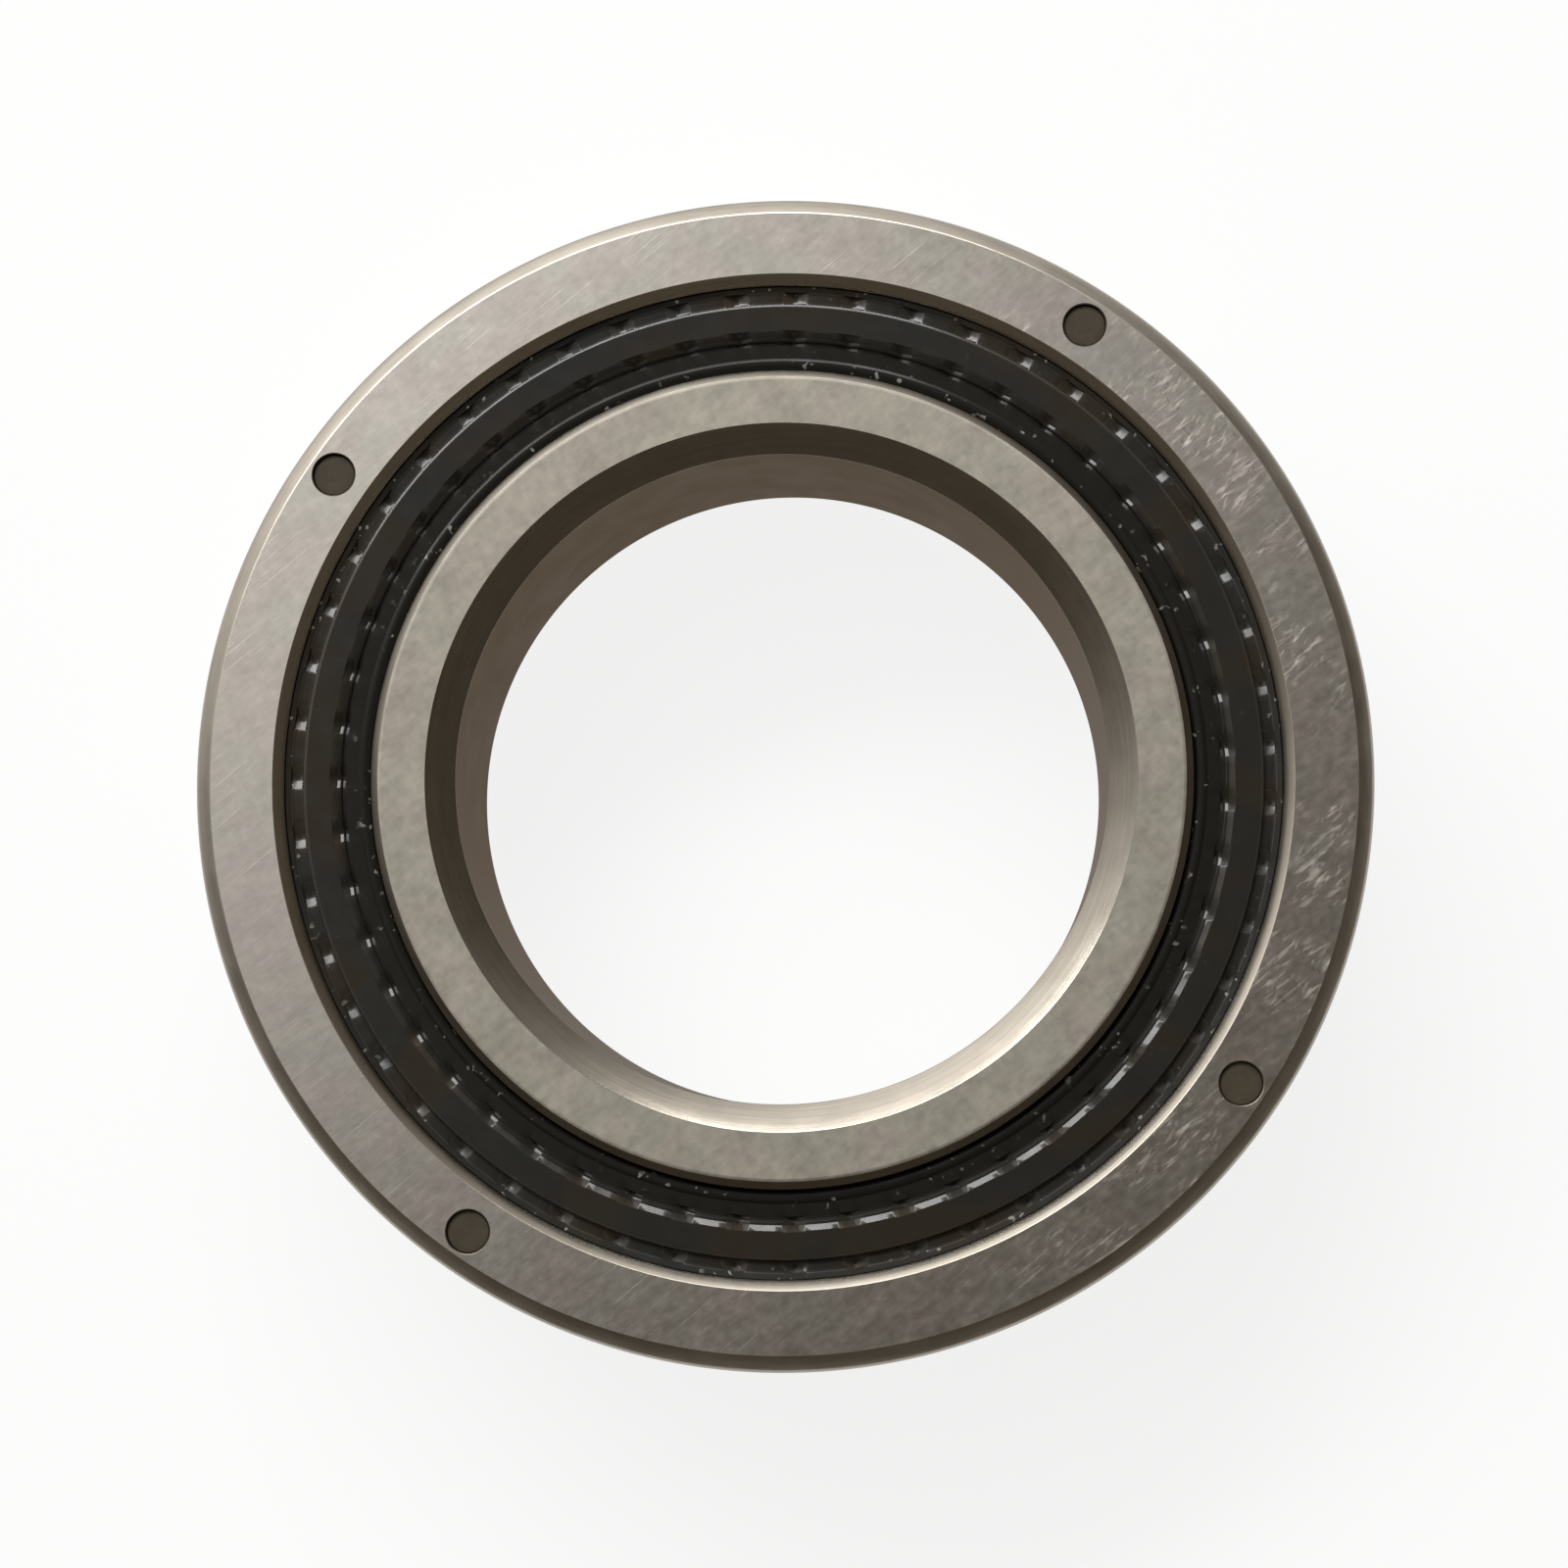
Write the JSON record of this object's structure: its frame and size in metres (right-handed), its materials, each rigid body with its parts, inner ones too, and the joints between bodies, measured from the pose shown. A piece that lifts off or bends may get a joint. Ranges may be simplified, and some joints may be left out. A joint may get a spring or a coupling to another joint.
{
  "type": "crossed roller bearing",
  "caption": "Slim crossed roller bearing with a split outer ring, a one-piece inner ring, short crossed rollers with spacers between them, and a rubber seal on each side.",
  "frame": {"origin": "centre of the bottom face", "axes": "+Z along the bearing's axis; the first roller lies on +X"},
  "size_m": [0.036, 0.036, 0.008],
  "materials": {
    "ring_steel": "ground",
    "roller_steel": "polished",
    "pin_steel": "dark oxide",
    "spacer_resin": "moulded",
    "seal_rubber": "greasy"
  },
  "bodies": {
    "outer_ring": {"outer_ring_upper": "ring_steel", "outer_ring_lower": "ring_steel", "joining_pin_1": "pin_steel", "joining_pin_2": "pin_steel", "joining_pin_3": "pin_steel", "joining_pin_4": "pin_steel", "upper_seal": "seal_rubber", "lower_seal": "seal_rubber"},
    "inner_ring": {"inner_ring": "ring_steel"},
    "spacer_row": {"spacer_01": "spacer_resin", "spacer_02": "spacer_resin", "spacer_03": "spacer_resin", "spacer_04": "spacer_resin", "spacer_05": "spacer_resin", "spacer_06": "spacer_resin", "spacer_07": "spacer_resin", "spacer_08": "spacer_resin", "spacer_09": "spacer_resin", "spacer_10": "spacer_resin", "spacer_11": "spacer_resin", "spacer_12": "spacer_resin", "spacer_13": "spacer_resin", "spacer_14": "spacer_resin", "spacer_15": "spacer_resin", "spacer_16": "spacer_resin", "spacer_17": "spacer_resin", "spacer_18": "spacer_resin", "spacer_19": "spacer_resin", "spacer_20": "spacer_resin", "spacer_21": "spacer_resin", "spacer_22": "spacer_resin", "spacer_23": "spacer_resin", "spacer_24": "spacer_resin"},
    "roller_01": {"roller_01": "roller_steel"},
    "roller_02": {"roller_02": "roller_steel"},
    "roller_03": {"roller_03": "roller_steel"},
    "roller_04": {"roller_04": "roller_steel"},
    "roller_05": {"roller_05": "roller_steel"},
    "roller_06": {"roller_06": "roller_steel"},
    "roller_07": {"roller_07": "roller_steel"},
    "roller_08": {"roller_08": "roller_steel"},
    "roller_09": {"roller_09": "roller_steel"},
    "roller_10": {"roller_10": "roller_steel"},
    "roller_11": {"roller_11": "roller_steel"},
    "roller_12": {"roller_12": "roller_steel"},
    "roller_13": {"roller_13": "roller_steel"},
    "roller_14": {"roller_14": "roller_steel"},
    "roller_15": {"roller_15": "roller_steel"},
    "roller_16": {"roller_16": "roller_steel"},
    "roller_17": {"roller_17": "roller_steel"},
    "roller_18": {"roller_18": "roller_steel"},
    "roller_19": {"roller_19": "roller_steel"},
    "roller_20": {"roller_20": "roller_steel"},
    "roller_21": {"roller_21": "roller_steel"},
    "roller_22": {"roller_22": "roller_steel"},
    "roller_23": {"roller_23": "roller_steel"},
    "roller_24": {"roller_24": "roller_steel"}
  },
  "joints": [
    {"name": "inner_ring_spin", "type": "hinge", "parent": "outer_ring", "child": "inner_ring", "pos_m": [0, 0, 0.004], "axis": [0, 0, 1], "continuous": true},
    {"name": "spacer_row_orbit", "type": "hinge", "parent": "outer_ring", "child": "spacer_row", "pos_m": [0, 0, 0.004], "axis": [0, 0, 1], "continuous": true},
    {"name": "roller_01_roll", "type": "hinge", "parent": "spacer_row", "child": "roller_01", "pos_m": [0.0135, 0, 0.004], "axis": [0.7071, 0, 0.7071], "continuous": true},
    {"name": "roller_02_roll", "type": "hinge", "parent": "spacer_row", "child": "roller_02", "pos_m": [0.01304, 0.00349, 0.004], "axis": [-0.683, -0.183, 0.7071], "continuous": true},
    {"name": "roller_03_roll", "type": "hinge", "parent": "spacer_row", "child": "roller_03", "pos_m": [0.01169, 0.00675, 0.004], "axis": [0.6124, 0.3536, 0.7071], "continuous": true},
    {"name": "roller_04_roll", "type": "hinge", "parent": "spacer_row", "child": "roller_04", "pos_m": [0.00955, 0.00955, 0.004], "axis": [-0.5, -0.5, 0.7071], "continuous": true},
    {"name": "roller_05_roll", "type": "hinge", "parent": "spacer_row", "child": "roller_05", "pos_m": [0.00675, 0.01169, 0.004], "axis": [0.3536, 0.6124, 0.7071], "continuous": true},
    {"name": "roller_06_roll", "type": "hinge", "parent": "spacer_row", "child": "roller_06", "pos_m": [0.00349, 0.01304, 0.004], "axis": [-0.183, -0.683, 0.7071], "continuous": true},
    {"name": "roller_07_roll", "type": "hinge", "parent": "spacer_row", "child": "roller_07", "pos_m": [0, 0.0135, 0.004], "axis": [0, 0.7071, 0.7071], "continuous": true},
    {"name": "roller_08_roll", "type": "hinge", "parent": "spacer_row", "child": "roller_08", "pos_m": [-0.00349, 0.01304, 0.004], "axis": [0.183, -0.683, 0.7071], "continuous": true},
    {"name": "roller_09_roll", "type": "hinge", "parent": "spacer_row", "child": "roller_09", "pos_m": [-0.00675, 0.01169, 0.004], "axis": [-0.3536, 0.6124, 0.7071], "continuous": true},
    {"name": "roller_10_roll", "type": "hinge", "parent": "spacer_row", "child": "roller_10", "pos_m": [-0.00955, 0.00955, 0.004], "axis": [0.5, -0.5, 0.7071], "continuous": true},
    {"name": "roller_11_roll", "type": "hinge", "parent": "spacer_row", "child": "roller_11", "pos_m": [-0.01169, 0.00675, 0.004], "axis": [-0.6124, 0.3536, 0.7071], "continuous": true},
    {"name": "roller_12_roll", "type": "hinge", "parent": "spacer_row", "child": "roller_12", "pos_m": [-0.01304, 0.00349, 0.004], "axis": [0.683, -0.183, 0.7071], "continuous": true},
    {"name": "roller_13_roll", "type": "hinge", "parent": "spacer_row", "child": "roller_13", "pos_m": [-0.0135, 0, 0.004], "axis": [-0.7071, 0, 0.7071], "continuous": true},
    {"name": "roller_14_roll", "type": "hinge", "parent": "spacer_row", "child": "roller_14", "pos_m": [-0.01304, -0.00349, 0.004], "axis": [0.683, 0.183, 0.7071], "continuous": true},
    {"name": "roller_15_roll", "type": "hinge", "parent": "spacer_row", "child": "roller_15", "pos_m": [-0.01169, -0.00675, 0.004], "axis": [-0.6124, -0.3536, 0.7071], "continuous": true},
    {"name": "roller_16_roll", "type": "hinge", "parent": "spacer_row", "child": "roller_16", "pos_m": [-0.00955, -0.00955, 0.004], "axis": [0.5, 0.5, 0.7071], "continuous": true},
    {"name": "roller_17_roll", "type": "hinge", "parent": "spacer_row", "child": "roller_17", "pos_m": [-0.00675, -0.01169, 0.004], "axis": [-0.3536, -0.6124, 0.7071], "continuous": true},
    {"name": "roller_18_roll", "type": "hinge", "parent": "spacer_row", "child": "roller_18", "pos_m": [-0.00349, -0.01304, 0.004], "axis": [0.183, 0.683, 0.7071], "continuous": true},
    {"name": "roller_19_roll", "type": "hinge", "parent": "spacer_row", "child": "roller_19", "pos_m": [0, -0.0135, 0.004], "axis": [0, -0.7071, 0.7071], "continuous": true},
    {"name": "roller_20_roll", "type": "hinge", "parent": "spacer_row", "child": "roller_20", "pos_m": [0.00349, -0.01304, 0.004], "axis": [-0.183, 0.683, 0.7071], "continuous": true},
    {"name": "roller_21_roll", "type": "hinge", "parent": "spacer_row", "child": "roller_21", "pos_m": [0.00675, -0.01169, 0.004], "axis": [0.3536, -0.6124, 0.7071], "continuous": true},
    {"name": "roller_22_roll", "type": "hinge", "parent": "spacer_row", "child": "roller_22", "pos_m": [0.00955, -0.00955, 0.004], "axis": [-0.5, 0.5, 0.7071], "continuous": true},
    {"name": "roller_23_roll", "type": "hinge", "parent": "spacer_row", "child": "roller_23", "pos_m": [0.01169, -0.00675, 0.004], "axis": [0.6124, -0.3536, 0.7071], "continuous": true},
    {"name": "roller_24_roll", "type": "hinge", "parent": "spacer_row", "child": "roller_24", "pos_m": [0.01304, -0.00349, 0.004], "axis": [-0.683, 0.183, 0.7071], "continuous": true}
  ],
  "couplings": [
    {"joint": "spacer_row_orbit", "follows": "inner_ring_spin", "ratio": 0.46726},
    {"joint": "roller_01_roll", "follows": "inner_ring_spin", "ratio": -5.3769},
    {"joint": "roller_02_roll", "follows": "inner_ring_spin", "ratio": -5.3769},
    {"joint": "roller_03_roll", "follows": "inner_ring_spin", "ratio": -5.3769},
    {"joint": "roller_04_roll", "follows": "inner_ring_spin", "ratio": -5.3769},
    {"joint": "roller_05_roll", "follows": "inner_ring_spin", "ratio": -5.3769},
    {"joint": "roller_06_roll", "follows": "inner_ring_spin", "ratio": -5.3769},
    {"joint": "roller_07_roll", "follows": "inner_ring_spin", "ratio": -5.3769},
    {"joint": "roller_08_roll", "follows": "inner_ring_spin", "ratio": -5.3769},
    {"joint": "roller_09_roll", "follows": "inner_ring_spin", "ratio": -5.3769},
    {"joint": "roller_10_roll", "follows": "inner_ring_spin", "ratio": -5.3769},
    {"joint": "roller_11_roll", "follows": "inner_ring_spin", "ratio": -5.3769},
    {"joint": "roller_12_roll", "follows": "inner_ring_spin", "ratio": -5.3769},
    {"joint": "roller_13_roll", "follows": "inner_ring_spin", "ratio": -5.3769},
    {"joint": "roller_14_roll", "follows": "inner_ring_spin", "ratio": -5.3769},
    {"joint": "roller_15_roll", "follows": "inner_ring_spin", "ratio": -5.3769},
    {"joint": "roller_16_roll", "follows": "inner_ring_spin", "ratio": -5.3769},
    {"joint": "roller_17_roll", "follows": "inner_ring_spin", "ratio": -5.3769},
    {"joint": "roller_18_roll", "follows": "inner_ring_spin", "ratio": -5.3769},
    {"joint": "roller_19_roll", "follows": "inner_ring_spin", "ratio": -5.3769},
    {"joint": "roller_20_roll", "follows": "inner_ring_spin", "ratio": -5.3769},
    {"joint": "roller_21_roll", "follows": "inner_ring_spin", "ratio": -5.3769},
    {"joint": "roller_22_roll", "follows": "inner_ring_spin", "ratio": -5.3769},
    {"joint": "roller_23_roll", "follows": "inner_ring_spin", "ratio": -5.3769},
    {"joint": "roller_24_roll", "follows": "inner_ring_spin", "ratio": -5.3769}
  ]
}
